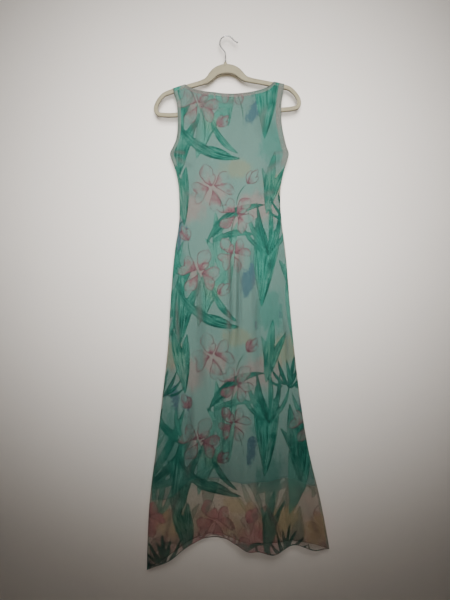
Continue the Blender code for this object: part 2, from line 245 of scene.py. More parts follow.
def curve(at, knots, values):
    """A smooth curve through a table's rows: a cubic between each two, with their mean slope at each."""
    order = np.argsort(knots)
    knots, values = knots[order], values[order]
    slopes = np.gradient(values, knots)
    at = np.clip(at, knots[0], knots[-1])
    i = np.clip(np.searchsorted(knots, at) - 1, 0, len(knots) - 2)
    step = knots[i + 1] - knots[i]
    t = (at - knots[i]) / step
    return (
        values[i] * (1 + 2 * t) * (1 - t) ** 2
        + values[i + 1] * t * t * (3 - 2 * t)
        + step * (slopes[i] * t * (1 - t) ** 2 - slopes[i + 1] * t * t * (1 - t))
    )


def lengths_along(line):
    """The distance from the first point of a line to each of its points, along it."""
    return np.concatenate([[0], np.cumsum(np.linalg.norm(np.diff(line, axis=0), axis=1))])


def tilted(x, z):
    """A point of the hanger, measured from its foot, where the tilted hanger has it."""
    turned_x = x * math.cos(TILT) - z * math.sin(TILT)
    turned_z = x * math.sin(TILT) + z * math.cos(TILT)
    return FOOT_X + turned_x, FOOT_Z + turned_z


def ring_faces(points, closed=False):
    """Quads between each ring of points and the next, facing out where the rings turn right-handed. closed
    joins the last ring to the first."""
    rings, sides = points.shape[:2]
    last = rings if closed else rings - 1
    ring, side = np.meshgrid(np.arange(last), np.arange(sides), indexing="ij")
    after, other = (ring + 1) % rings, (side + 1) % sides
    corners = [ring * sides + side, ring * sides + other, after * sides + other, after * sides + side]
    return np.stack(corners, axis=-1).reshape(-1, 4)


def rings_round(x, z, ahead, off, deep):
    """Rings of points round a line in the hanger's plane, which runs ahead. off is how far each point lies
    to the left of the line, and deep how far behind it."""
    ahead = ahead / np.linalg.norm(ahead, axis=1, keepdims=True)
    deep = np.broadcast_to(deep, off.shape)
    return np.stack([x[:, None] - ahead[:, 1:] * off, deep, z[:, None] + ahead[:, :1] * off], axis=-1)


def hanger_rings(stations, sides):
    """A rounded bar carried round the loop. Its section is |a|^n + |b|^n = 1, with a across the loop."""
    loop = np.concatenate([LOOP, LOOP[-2:0:-1] * (-1, 1, 1)])
    around = np.concatenate([loop[-3:], loop, loop[:4]])
    length = lengths_along(around[:, :2])
    at = np.linspace(length[3], length[3 + len(loop)], stations, endpoint=False)
    x, z, height = (curve(at, length, around[:, column]) for column in range(3))
    ahead = np.stack([np.roll(x, -1) - np.roll(x, 1), np.roll(z, -1) - np.roll(z, 1)], axis=-1)
    turn = np.linspace(0, 2 * math.pi, sides, endpoint=False)
    waves = np.stack([np.cos(turn), np.sin(turn)])
    tall, deep = np.sign(waves) * np.abs(waves) ** (2 / HANGER_ROUND)
    rings = rings_round(x, z, ahead, height[:, None] / 2 * tall, HANGER_THICK / 2 * deep)
    rings[..., 0], rings[..., 2] = tilted(rings[..., 0], rings[..., 2])
    return rings


flock, flock_shader, place = new_material(
    "flocked_beige", Roughness=0.93, Sheen_Weight=0.12, Sheen_Roughness=0.5, Specular_IOR_Level=0.25
)
pile = place.noise(900, 3)
patches = place.noise(26, 4).ramp(0.35, 0.72)
facing = place.node("ShaderNodeNewGeometry", output="Normal")
# painted shade: faces that point downwards are painted darker
under = place.node("ShaderNodeSeparateXYZ", {}, {0: facing}, output="Z").ramp(-0.15, -0.60)
worn = (patches * 0.5 + pile * 0.4).between(FLOCK_BEIGE, FLOCK_WORN)
feed(
    flock_shader,
    Base_Color=(under * 0.75).between(worn, FLOCK_PAINTED_SHADE),
    Roughness=0.86 + pile * 0.12,
    Normal=bump(pile, 0.0004, 0.8),
)
hanger_points = hanger_rings(360, 28)
hanger = new_piece("hanger", hanger_points, ring_faces(hanger_points, closed=True), flock, 80)
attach(hanger, "root")
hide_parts("hanger_body")


# ---------------------------------------------------------------- the hook's collar
# A small moulded cone of the hanger's plastic, flocked like it, that flares out of the top of the arch.
# The wire stem stands in its middle.

COLLAR = np.array([
    # half-width, half-depth and z in millimetres
    (0, 0, -89), (6.8, 3.5, -89), (7, 3.7, -85), (6.9, 3.7, -83), (5.8, 3.6, -81.5), (4.6, 3.5, -79.5),
    (3.8, 3.4, -77.5), (3.4, 3.3, -76.6), (3, 2.9, -76.3), (0, 0, -76.3),
]) / 1000


def collar_rings(sides):
    """Ovals of the table's half-widths and half-depths, stacked up the stem."""
    turn = np.linspace(0, 2 * math.pi, sides, endpoint=False)
    wide, deep, height = (COLLAR[:, column, None] for column in range(3))
    x, y = FOOT_X + wide * np.cos(turn), deep * np.sin(turn)
    return np.stack([x, y, np.broadcast_to(height, x.shape)], axis=-1)


collar_points = collar_rings(32)
collar = new_piece("hook_collar", collar_points, ring_faces(collar_points), flock, 50)
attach(collar, "root")


# ---------------------------------------------------------------- the hook
# A round steel wire: a straight stem in the collar, an easy bend to the left, a little more than half a
# circle round the rail, with its inner crown at the origin, and a turned-out end with a ball. It turns in
# the collar on a real hanger.

WIRE_RADIUS, HOOK_RADIUS, HOOK_BALL = 0.0018, 0.0213, 0.0027
HOOK_LINE = np.array([
    # x and z in millimetres
    (-4.5, -79), (-4.5, -70), (-4.5, -60), (-4.5, -53), (-5, -49), (-7, -45), (-10.3, -40.5),
    (-14.3, -35.7),
]) / 1000
HOOK_ARC = (213, 25)                 # where the circle starts and ends, in degrees
HOOK_END = np.array([(0.0226, -0.0122), (0.0254, -0.0148), (0.0282, -0.0164), (0.0310, -0.0176)])
STEEL = (0.40, 0.395, 0.385)


def hook_rings(steps, sides):
    """A circle of wire carried along the stem, the bend, the arc and the end, widening into a ball."""
    turn = np.radians(np.linspace(*HOOK_ARC, 24))
    arc = np.stack([np.cos(turn), np.sin(turn)], axis=1) * HOOK_RADIUS + (0, WIRE_RADIUS - HOOK_RADIUS)
    knots = np.concatenate([HOOK_LINE, arc, HOOK_END])
    length = lengths_along(knots)
    ball_at = length[-1]
    even = np.linspace(0, ball_at - 0.9 * HOOK_BALL, steps)
    round_ball = np.radians(np.linspace(38, 180, 14))
    at = np.concatenate([even, ball_at - HOOK_BALL * np.cos(round_ball)])
    inside = np.minimum(at, ball_at)
    x, z = curve(inside, length, knots[:, 0]), curve(inside, length, knots[:, 1])
    way = (knots[-1] - knots[-2]) / np.linalg.norm(knots[-1] - knots[-2])
    x, z = x + (at - inside) * way[0], z + (at - inside) * way[1]
    radii = np.concatenate([np.full(steps, WIRE_RADIUS), HOOK_BALL * np.sin(round_ball)])
    radii[0] = 0
    ahead = np.stack([np.gradient(x), np.gradient(z)], axis=1)
    around = np.linspace(0, 2 * math.pi, sides, endpoint=False)
    return rings_round(x, z, ahead, radii[:, None] * np.cos(around), -radii[:, None] * np.sin(around))


steel, steel_shader, place = new_material("steel_wire", Metallic=1.0)
scuffs = place.noise(180, 3, (1, 1, 0.2))
feed(
    steel_shader,
    Base_Color=scuffs.ramp(0.3, 0.8).between(STEEL, [c * 0.78 for c in STEEL]),
    Roughness=0.24 + scuffs * 0.16,
    Normal=bump(scuffs, 0.00005, 0.5),
)
hook_points = hook_rings(120, 16)
hook = new_piece("hook", hook_points, ring_faces(hook_points), steel)
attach(hook, "root")
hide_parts("hanger_hook")


# ---------------------------------------------------------------- the cut and hang of the dress
# Every cloth piece is a patch of one surface, front or back. across is -1 and 1 at the side edges. up is
# 0 at the hem, 1 at the lining's lower edge, 2 at the underarm and 3 at the neck and the shoulder seams.

SIDES = np.array([
    # z, and x on the left and on the right, in millimetres
    ( -140, -166.2, 171.6),   # shoulder
    ( -157, -162.8, 170.3),
    ( -181, -155.7, 166.2),
    ( -205, -149.7, 162.9),
    ( -235, -147.3, 162.3),   # armhole, narrowest
    ( -265, -146.7,   164),
    ( -290, -148.5, 168.4),
    ( -312, -153.3,   174),
    ( -331, -161.7, 179.2),
    ( -349, -170.7, 185.7),   # underarm
    ( -375, -162.9, 180.6),
    ( -406,   -153, 170.7),
    ( -445, -145.5, 162.6),
    ( -490, -142.8, 159.9),   # waist
    ( -550, -143.1, 163.8),
    ( -640, -155.7, 175.2),   # hip
    ( -790, -168.9, 187.8),
    ( -940, -177.9, 202.2),   # knee
    (-1090, -194.7, 220.5),
    (-1240, -212.7, 244.8),
    (-1390, -231.3, 280.2),
    (-1540, -238.8, 307.8),   # hem
    (-1610,   -240,   318),
]) / 1000
UNDERARM_Z = -0.349
DEPTHS = np.array([
    # z, then the depth of the front and of the back at mid-width, in millimetres
    (-140, 6.4, 6.4), (-170, 8, 7.6), (-250, 11, 10), (-349, 14, 12), (-490, 13, 12), (-640, 15, 13.5),
    (-940, 16.5, 15), (-1240, 17.5, 16), (-1610, 16.5, 17),
]) / 1000
SEAM_DEPTH = 0.0003                  # at a side seam the two panels lie face to face
ARMHOLE_DEPTH = 0.0066               # at the armhole they pass in front of and behind the hanger
ARMHOLE_OPENS = 0.100                # height over which the armhole reaches that
ARM_START_X, ARM_START_Z, ARM_SLOPE = 0.0735, -0.0447, -0.258    # an arm's top line, from the foot
SEAM_LIFT = (0.0022, 0.0015)         # the shoulder seam above the hanger's arm, at the neck and outside
LIFT_FROM, LIFT_OVER = 0.130, 0.035  # how far out that changes, and over what width
SEAM_ROUND = 0.0070                  # height over which the cloth bends over the arm
SEAM_HALF = 0.00025                  # half the gap between the panels at the shoulder seam
BACK_NECK_RISE = 0.0040
NECKLINE = np.array([
    # x and z in millimetres
    (-129, -144), (-116, -153.7), (-101.7, -159.8), (-80.7, -164.8), (-50.7, -169.3), (3.3, -174.3),
    (60.3, -170.7), (84.3, -166.2), (105.3, -160.2), (130.2, -148), (142.2, -135.1),
]) / 1000
NECK_ENDS = 2 * (NECKLINE[[0, -1], 0] - SIDES[0, 1]) / (SIDES[0, 2] - SIDES[0, 1]) - 1    # in across
HEM = np.array([
    # across, z in millimetres
    (-1, -1600), (-0.745, -1562), (-0.526, -1520), (-0.255, -1501.5), (0.096, -1527.5), (0.359, -1532),
    (0.611, -1523.4), (0.874, -1531), (1, -1537.2),
]) * (1, 0.001)
LINING_HEM = np.array([
    # across, z in millimetres
    (-1, -1390), (-0.76, -1379), (-0.64, -1353), (-0.53, -1328), (-0.35, -1320), (-0.12, -1327),
    (0.15, -1333), (0.41, -1324), (0.62, -1319), (0.76, -1327), (0.88, -1340), (1, -1350),
]) * (1, 0.001)
# Large folds, in millimetres: where each starts and ends, its half-widths, and how far it moves each side
# outwards. One with fade 1 dies out at its lower end, and one with fade 0 is widest open there, at the hem.
FOLDS = np.array([
    # top z, top x, low z, low x, top w, low w, front, back, fade
    ( -560,   27, -1400,    0, 14, 20, 8.5,  2, 1),   # centre ridge
    ( -980, -135, -1580, -175, 18, 34,  12,  6, 0),   # left flute
    (-1080,  -25, -1500,  -36, 30, 46, -30,  9, 0),   # arch
    (-1150,   45, -1530,   64, 16, 26,  18, -4, 0),   # first flute
    (-1050,  105, -1530,  134, 20, 34,  28,  6, 0),   # second flute
    (-1150,  170, -1530,  201, 16, 26, -12,  8, 0),   # hollow
    (-1100,  215, -1540,  265, 16, 30,  26,  6, 0),   # right flute
])
# Creases, in millimetres: each side's soft ridges and troughs, from one end to the other. A crease bows to
# its left by that share of its length, and a height under 0 is a trough.
CREASES = {
    # x from, z from, x to, z to, half-width and height in millimetres, bow
    0: [   # front
        # under the neck, a shallow cowl
        (-60, -192, 55, -190, 5, -3.22, -0.08), (-48, -206, -10, -215, 3, 2.76, -0.1),
        (-95, -183, 10, -223, 7, -2.76, -0.1), (95, -184, 30, -220, 8, -2.53, 0.12),
        (-5, -232, 75, -226, 6, 2.07, 0.1),
        # from the underarms
        (-166, -347, -118, -356, 5, -4.6, 0.06), (-156, -330, -95, -300, 7, 3.22, -0.05),
        (-162, -362, -100, -405, 8, -3.45, 0.05), (180, -347, 130, -358, 5, -4.14, -0.05),
        (172, -328, 118, -295, 7, 2.99, 0.06), (176, -370, 105, -420, 9, -3.22, -0.05),
        # down from the shoulders
        (-148, -205, -110, -270, 7, 2.76, 0.1), (-130, -190, -85, -330, 11, -2.76, 0.04),
        (150, -195, 118, -270, 7, 2.76, -0.08), (126, -195, 88, -320, 12, -2.53, -0.04),
        # at the waist
        (-138, -470, -60, -490, 8, -2.3, 0.04), (154, -465, 80, -488, 8, -2.53, -0.04),
        (-130, -520, -35, -505, 9, 2.07, -0.03),
        # beside the centre ridge
        (5, -590, 2, -970, 6, -5.06, 0.01), (23, -610, 21, -960, 5, 3.68, 0.01),
        (42, -600, 38, -930, 5.5, -5.06, -0.01), (10, -980, -10, -1320, 7, 4.14, -0.02),
        (-15, -1080, -25, -1360, 6, -3.22, 0.02),
        # long drops down the skirt
        (171, -830, 183, -990, 5, -4.6, 0.02), (160, -800, 172, -1050, 6, 3.22, 0.01),
        (-150, -770, -140, -940, 5, -4.6, -0.02), (-136, -760, -125, -980, 7, 3.22, 0),
        (-90, -660, -78, -1120, 11, -3.68, 0.01), (-56, -740, -52, -1180, 10, 3.45, -0.01),
        (85, -640, 98, -1100, 11, -3.68, -0.01), (115, -700, 133, -1220, 10, 3.22, 0.01),
        (-108, -1020, -123, -1370, 8, -4.14, 0.02),
        # near the hem
        (-133, -1340, -189, -1546, 4.5, -7.82, -0.04), (-175, -1400, -218, -1570, 6, 5.06, -0.03),
        (104, -1380, 176, -1526, 5, -8.28, 0.04), (-8, -1430, 38, -1530, 5, -6.9, 0.05),
        (228, -1360, 286, -1520, 6, -5.06, -0.03), (-85, -1330, -98, -1500, 7, 4.14, 0.02),
    ],
    1: [   # back
        # at the neck, the underarms and the shoulders
        (-70, -185, 65, -182, 6, -2.76, -0.05), (-165, -348, -108, -360, 6, -4.14, 0.05),
        (178, -348, 118, -362, 6, -4.37, -0.05), (-158, -370, -80, -430, 9, -3.22, 0.05),
        (170, -375, 90, -435, 9, -3.22, -0.05), (-132, -195, -90, -340, 12, -2.76, 0.05),
        (130, -195, 92, -330, 12, -2.76, -0.05),
        # the small of the back
        (-130, -480, 10, -495, 9, -3.22, 0.03), (145, -475, 20, -505, 9, -2.99, -0.03),
        (-90, -520, 90, -515, 8, 2.3, -0.03),
        # long drops down the skirt
        (-105, -680, -95, -1150, 11, -4.14, 0.01), (-50, -620, -42, -1060, 9, 4.14, -0.01),
        (-15, -650, -12, -1100, 10, -3.91, 0.01), (60, -660, 68, -1180, 11, 4.14, -0.01),
        (112, -700, 128, -1220, 11, -4.14, 0.01), (156, -800, 176, -1150, 7, 3.68, 0.01),
        (-148, -800, -148, -1050, 7, -3.68, -0.02),
        # near the hem
        (150, -1330, 205, -1510, 6, -5.98, -0.03), (-70, -1320, -100, -1495, 7, -5.52, 0.03),
        (45, -1350, 60, -1515, 6, 5.06, -0.02), (-160, -1360, -195, -1540, 6, 5.06, 0.03),
    ],
}


def ease(t):
    """0 to 1 with level ends."""
    t = np.clip(t, 0, 1)
    return t * t * (3 - 2 * t)


def mix(a, b, t):
    return a + (b - a) * t


def shoulder_height(x):
    """Height of the cloth where it lies over the hanger's arms, which are two straight lines."""
    heights = []
    for side in (-1, 1):
        places = [(side * u, ARM_START_Z + ARM_SLOPE * (u - ARM_START_X)) for u in (0.08, 0.18)]
        (x0, z0), (x1, z1) = (tilted(*place) for place in places)
        heights.append(z0 + (z1 - z0) * (x - x0) / (x1 - x0))
    lift = mix(*SEAM_LIFT, np.clip((np.abs(x) - LIFT_FROM) / LIFT_OVER, 0, 1))
    return np.where(x < 0, heights[0], heights[1]) + lift


def top_height(x, is_back):
    """The cloth's top edge: the shoulder seams, and the neckline between them."""
    left, right = NECKLINE[0, 0], NECKLINE[-1, 0]
    share = (x - left) / (right - left)
    rise = is_back * BACK_NECK_RISE * ease(4 * share) * ease(4 * (1 - share))
    heights = NECKLINE[:, 1].copy()
    heights[[0, -1]] = shoulder_height(NECKLINE[[0, -1], 0])
    neck = curve(x, NECKLINE[:, 0], heights) + rise
    return np.where((share < 0) | (share > 1), shoulder_height(x), neck)


def fold_height(x, z, is_back):
    """How far the large folds move a side outwards: each is a bell across that opens on its way down.
    ease(0.75) is 27/32, so that a flute has its whole depth at its lower end."""
    total = np.zeros_like(x)
    for *millimetres, fade in FOLDS:
        top_z, top_x, low_z, low_x, top_w, low_w, *outwards = (value / 1000 for value in millimetres)
        t = (top_z - z) / (top_z - low_z)
        opening = np.where(fade, ease(t / 0.3) * (1 - ease((t - 0.7) / 0.3)), ease(t * 0.75) * 32 / 27)
        middle = mix(top_x, low_x, np.clip(t, 0, 1.1))
        width = mix(top_w, low_w, np.clip(t, 0, 1.1))
        total += outwards[is_back] * opening * np.exp(-(((x - middle) / width) ** 2))
    return total


def crease_height(x, z, is_back):
    """How far the creases and the cloth's own unevenness move a side outwards. A crease is a bell across
    its bowed line and rounds off towards both ends. The unevenness is a sum of slow waves."""
    total = np.zeros_like(x)
    for *millimetres, bow in CREASES[is_back]:
        x0, z0, x1, z1, width, height = (value / 1000 for value in millimetres)
        length = math.hypot(x1 - x0, z1 - z0)
        way_x, way_z = (x1 - x0) / length, (z1 - z0) / length
        along = ((x - x0) * way_x + (z - z0) * way_z) / length
        inside = np.clip(along, 0, 1)
        off = (z - z0) * way_x - (x - x0) * way_z - bow * length * 4 * inside * (1 - inside)
        ends = ease(along / 0.3) * ease((1 - along) / 0.35)
        total += height * ends * np.exp(-((off / (width * (0.75 + 0.5 * inside))) ** 2))
    phase = 2.1 * is_back
    total += 0.00045 * np.sin(61 * x + 3.1 * np.sin(5.3 * z + phase) + phase)
    total += 0.00030 * np.sin(143 * x - 17 * z + 2.0 * np.sin(9 * z) + 3 * phase)
    total += 0.00025 * np.sin(47 * z + 31 * x + 2.2 * np.sin(23 * x + phase))
    return total


def cloth_point(is_back, across, up):
    """A point of one side's surface. Its height runs between the hem, the lining's edge, the underarm and
    the top, and its depth is the mid-width depth times 1 - across^4, with the folds and creases."""
    left_top, right_top = SIDES[0, 1], SIDES[0, 2]
    share = (across + 1) / 2

    def level(at, top):
        hem, lining = curve(at, HEM[:, 0], HEM[:, 1]), curve(at, LINING_HEM[:, 0], LINING_HEM[:, 1])
        skirt, body, bodice = np.clip(up, 0, 1), np.clip(up - 1, 0, 1), np.clip(up - 2, 0, 1)
        return hem + (lining - hem) * skirt + (UNDERARM_Z - lining) * body + (top - UNDERARM_Z) * bodice

    z = level(across, top_height(mix(left_top, right_top, share), is_back))
    left_z, right_z = level(-1, shoulder_height(left_top)), level(1, shoulder_height(right_top))
    x = mix(curve(left_z, SIDES[:, 0], SIDES[:, 1]), curve(right_z, SIDES[:, 0], SIDES[:, 2]), share)

    edge = mix(SEAM_DEPTH, ARMHOLE_DEPTH, ease((z - UNDERARM_Z) / ARMHOLE_OPENS))
    middle = curve(z, DEPTHS[:, 0], DEPTHS[:, 1 + is_back])
    depth = edge + (middle - edge) * (1 - across**4)
    depth = depth + fold_height(x, z, is_back) * (1 - across**6)
    depth = depth + crease_height(x, z, is_back) * (1 - across**8)
    over_arm = (z - shoulder_height(x) + SEAM_ROUND) / SEAM_ROUND
    depth = SEAM_HALF + (depth - SEAM_HALF) * np.sqrt(1 - np.clip(over_arm, 0, 1) ** 2)
    return np.stack([x, depth if is_back else -depth, z], axis=-1)


def cloth_normal(is_back, across, up):
    """One side's outward unit normal, from its slopes. At the shoulder it is kept in the seam's plane."""
    step = 1e-4
    inside, below = np.clip(across, -1 + step, 1 - step), np.clip(up, step, 3 - step)
    along = cloth_point(is_back, inside + step, below) - cloth_point(is_back, inside - step, below)
    upward = cloth_point(is_back, inside, below + step) - cloth_point(is_back, inside, below - step)
    normal = np.cross(along, upward) * (-1 if is_back else 1)
    at_seam = (up > 3 - 1e-9) & (np.abs(cloth_point(is_back, across, up)[..., 1]) < 2 * SEAM_HALF)
    normal[..., 1] = np.where(at_seam, 0, normal[..., 1])
    return normal / np.linalg.norm(normal, axis=-1, keepdims=True)


def grid_faces(points, is_back):
    """The quads of a grid of points, facing outwards on both sides of the dress."""
    index = np.arange(points[..., 0].size).reshape(points.shape[:2])
    corners = [index[:-1, :-1], index[:-1, 1:], index[1:, 1:], index[1:, :-1]]
    quads = np.stack(corners, axis=-1).reshape(-1, 4)
    return quads[:, ::-1] if is_back else quads


def give_thickness(piece, thickness):
    """Makes a sheet a closed shell of that thickness, half of it on each side of its surface."""
    shell = piece.modifiers.new("thickness", "SOLIDIFY")
    shell.thickness, shell.offset = thickness, 0.0


# ---------------------------------------------------------------- the print
# A loose painted garden in thinned inks, screened onto the mesh in one repeat: fans of long blade
# leaves, spiky tufts, flowers drawn with a rose line, and washes of jade, blue, ochre and pink.

REPEAT_WIDE, REPEAT_HIGH = 0.62, 0.50
SPRAYS = {
    # the blades of each kind: turn in degrees, start and length in hundredths of the reach, width and bend
    # to the left in hundredths of the length, darkness added in hundredths, how far up the widest place is
    "swords": [(-15, 2, 86, 15, 5, 10, 0.9), (15, 0, 74, 16.5, -8, -10, 0.9), (1, 0, 100, 16, 2, 0, 1)],
    "pair": [(-7, 0, 92, 19, 3, 10, 1), (8, 5, 97, 18, -3, -5, 1.1)],
    "fan": [
        (-38, 5, 70, 10.5, -10, -15, 0.9), (34, 5, 66, 11.5, 10, 0, 0.9),
        (-21, 0, 88, 10, -7, 15, 0.9), (18, 0, 84, 10.5, 8, -20, 0.9), (-8, 0, 100, 8.5, -4, -5, 1),
        (5, 0, 94, 9, 3, 20, 1),
    ],
    "tuft": [
        (-72, 18, 55, 13, -12, 10, 0.8), (-53, 12, 72, 12, -9, -10, 0.8),
        (-37, 0, 90, 11.5, -6, 10, 0.9), (-21, 2, 84, 12, 3, -10, 0.9), (-5, 0, 100, 11, 2, 15, 1),
        (12, 2, 84, 12, -2, -5, 0.9), (28, 0, 94, 11.5, 5, 10, 0.9), (47, 12, 72, 12, 9, 0, 0.8),
        (69, 18, 52, 13, 13, 10, 0.8),
    ],
    "arc": [
        (-24, 8, 62, 14, 12, -15, 0.9), (16, 14, 55, 13, -5, 0, 0.9), (0, 0, 100, 12.5, 15, 5, 0.9),
    ],
    "flower": [
        (0, 5, 95, 62, 4, 0, 1.5), (66, 5, 80, 56, 10, 10, 1.7), (-62, 5, 84, 56, -10, 0, 1.7),
        (168, 4, 96, 52, 8, 10, 1.9), (118, 6, 88, 46, -12, 0, 1.8), (-122, 6, 92, 48, 12, 10, 1.8),
        (24, 4, 52, 50, -10, 30, 1.3), (-30, 4, 50, 52, 10, 30, 1.3),
    ],
    "bud": [(-20, 0, 78, 34, -8, 10, 1.2), (19, 0, 80, 34, 8, 10, 1.2), (0, 5, 95, 36, 0, 30, 1.4)],
}
MOTIFS = [
    # kind, across and up in millimetres, turn in degrees, reach in millimetres, darkness
    # pale leaves behind
    ("swords", 5, 95, 8, 250, 0.10), ("pair", 205, 440, -6, 250, 0.12),
    ("fan", -225, 420, 12, 200, 0.15), ("fan", 285, 60, -12, 250, 0.20),
    ("swords", -90, 0, -14, 230, 0.12),
    # leaves
    ("fan", -265, 5, -20, 290, 0.52), ("fan", 285, 165, 14, 200, 0.50),
    ("swords", -150, 435, -4, 240, 0.62), ("pair", 112, 60, -3, 270, 0.60),
    ("swords", 225, 45, 8, 230, 0.64), ("arc", -60, 250, -58, 215, 0.75),
    ("arc", 45, 0, 60, 225, 0.78), ("arc", -130, 150, 35, 165, 0.60), ("fan", 125, 215, 8, 170, 0.72),
    ("pair", -128, 300, 5, 195, 0.60), ("swords", 118, 335, -9, 190, 0.58),
    ("tuft", 190, 315, -6, 105, 0.88), ("tuft", -200, 285, 8, 105, 0.88),
    # flowers and buds
    ("flower", -45, 415, 18, 72, 0.55), ("flower", 28, 335, -42, 62, 0.65),
    ("flower", -85, 165, -24, 70, 0.60), ("flower", 18, 215, 34, 58, 0.70),
    ("flower", 245, 215, -15, 64, 0.55), ("flower", -255, 430, 25, 64, 0.55),
    ("bud", 60, 425, -38, 54, 0.75), ("bud", -115, 255, 24, 52, 0.85), ("bud", -30, 95, -46, 50, 0.75),
    ("bud", -225, 120, 40, 50, 0.70),
]
STEMS = [
    # from across and up to across and up in millimetres, bend as a share of the length
    (-85, 165, -75, 20, 0.10), (-45, 415, -10, 300, 0.12), (28, 335, 22, 210, -0.10),
    (60, 425, 30, 345, -0.14), (-115, 255, -90, 170, -0.08), (18, 215, 45, 80, 0.10),
    (-30, 95, -60, 10, -0.14), (245, 215, 215, 80, -0.10), (-255, 430, -240, 290, 0.10),
    (-225, 120, -245, 10, 0.08),
]
WASHES = {
    # across, up, half-width and half-height in millimetres, turn in degrees
    "jade": [
        (-160, 170, 45, 120, 4), (110, 210, 42, 100, -3), (245, 130, 55, 130, 12),
        (-250, 180, 45, 110, -12), (130, 50, 45, 80, 0),
    ],
    "blue": [
        (250, 255, 36, 60, 12), (75, 140, 24, 50, -14), (-150, 290, 30, 50, 20), (-265, 270, 36, 50, 0),
    ],
    "ochre": [
        (-185, 415, 65, 50, -5), (175, 430, 75, 45, 10), (290, 400, 50, 50, 0), (-45, 105, 28, 30, 0),
        (30, 470, 50, 30, 0),
    ],
    "pink": [
        (-45, 405, 52, 50, 0), (28, 325, 45, 42, 0), (-85, 155, 50, 46, 10), (20, 210, 40, 40, 0),
        (245, 210, 46, 44, 0), (-250, 425, 46, 44, 0), (-110, 360, 60, 50, 0), (90, 360, 70, 50, 0),
    ],
}
FAR = 12.0                           # distances from an outline are kept up to this many millimetres
DRAWN_TO = 0.003                     # a blade's own shades reach this far outside its outline
STEM_WIDE = 0.0030
BORDER_TOP, BORDER_SOFT = -1.51, 0.07     # height of the bare border's top, and of its soft change
PAINTED_LIGHT_TOP, PAINTED_LIGHT_SOFT = -0.95, 0.35    # painted light: the cool ground is painted paler from here down, over that height


def wrapped(distance, repeat):
    """A distance on the cloth, counted from the nearest repeat."""
    return (distance + repeat / 2) % repeat - repeat / 2


def painted_blade(across, up, foot, tip, width, bend, widest):
    """For each point of the cloth: how far up a blade it is, from 0 to 1, how far across it, -1 and 1 at its
    two sides, and its distance from the outline, under 0 inside. The half-width goes as
    sin(pi s^widest)^0.8, with s the way up the blade."""
    length = math.dist(foot, tip)
    way = ((tip[0] - foot[0]) / length, (tip[1] - foot[1]) / length)
    off_x, off_z = wrapped(across - foot[0], REPEAT_WIDE), wrapped(up - foot[1], REPEAT_HIGH)
    s = (off_x * way[0] + off_z * way[1]) / length
    inside = np.clip(s, 0, 1)
    off = off_z * way[0] - off_x * way[1] - bend * length * 4 * inside * (1 - inside)
    half = width / 2 * np.sin(math.pi * inside**widest) ** 0.8
    beyond = np.maximum(np.maximum(-s, s - 1), 0) * length
    distance = np.hypot(np.maximum(np.abs(off) - half, 0), beyond)
    return inside, np.clip(off / (half + 1e-5), -2, 2), np.where(distance > 0, distance, np.abs(off) - half)


def paint(mesh, across, up, **fields):
    """Stores the print on a cloth mesh, from each vertex's place on the flat cloth: the distance from the
    outlines of the leaves, the petals and the stems in millimetres, what is drawn on them, the washes,
    where the cool ground is painted paler as painted light, and where it ends, above the border of bare nude
    mesh at the hem."""
    far = np.full_like(across, FAR)
    for group in ("leaf", "petal"):
        fields[group] = far.copy()
        fields |= {group + what: 0 * far for what in ("_dark", "_up", "_across")}
    fields["stem"] = far.copy()
    for kind, x, z, turn, reach, dark in MOTIFS:
        x, z, reach = x / 1000, z / 1000, reach / 1000
        group = "petal" if kind in ("flower", "bud") else "leaf"
        for blade_turn, *hundredths, widest in SPRAYS[kind]:
            start, length, width, bend, darker = (value / 100 for value in hundredths)
            angle = math.radians(turn + blade_turn)
            way = (-math.sin(angle), math.cos(angle))
            foot = (x + way[0] * start * reach, z + way[1] * start * reach)
            tip = (foot[0] + way[0] * length * reach, foot[1] + way[1] * length * reach)
            s, side, edge = painted_blade(across, up, foot, tip, width * length * reach, bend, widest)
            on, near, edge = edge < 0, edge < DRAWN_TO, np.clip(edge * 1000, -FAR, FAR)
            fields[group] = np.where(on, edge, np.minimum(fields[group], edge))
            for what, value in (("_dark", dark + darker), ("_up", s), ("_across", side)):
                fields[group + what] = np.where(near, value, fields[group + what])
    for *millimetres, bend in STEMS:
        x0, z0, x1, z1 = (value / 1000 for value in millimetres)
        edge = painted_blade(across, up, (x0, z0), (x1, z1), STEM_WIDE, bend, 0.7)[2]
        fields["stem"] = np.minimum(fields["stem"], np.clip(edge * 1000, -FAR, FAR))
    for ink, blots in WASHES.items():
        fields[ink] = 0 * far
        for *millimetres, turn in blots:
            x, z, half_x, half_z = (value / 1000 for value in millimetres)
            off_x, off_z = wrapped(across - x, REPEAT_WIDE), wrapped(up - z, REPEAT_HIGH)
            c, s = math.cos(math.radians(turn)), math.sin(math.radians(turn))
            round_x, round_z = (off_x * c + off_z * s) / half_x, (off_z * c - off_x * s) / half_z
            fields[ink] = np.maximum(fields[ink], np.exp(-(round_x**2 + round_z**2) * 0.9))
    fields["cool"] = ease((up - BORDER_TOP) / BORDER_SOFT)
    fields["painted_light_low"] = ease((PAINTED_LIGHT_TOP - up) / PAINTED_LIGHT_SOFT)
    for name, values in fields.items():
        stored = mesh.attributes.new(name, "FLOAT", "POINT").data
        stored.foreach_set("value", values.ravel().astype(np.float32))


# ---------------------------------------------------------------- the mesh panels
# Front and back, each cut in one piece from fine sheer stretch mesh in nude pink, and printed before it
# was cut. They are sewn together at the shoulders and the sides, and hang free below the lining.

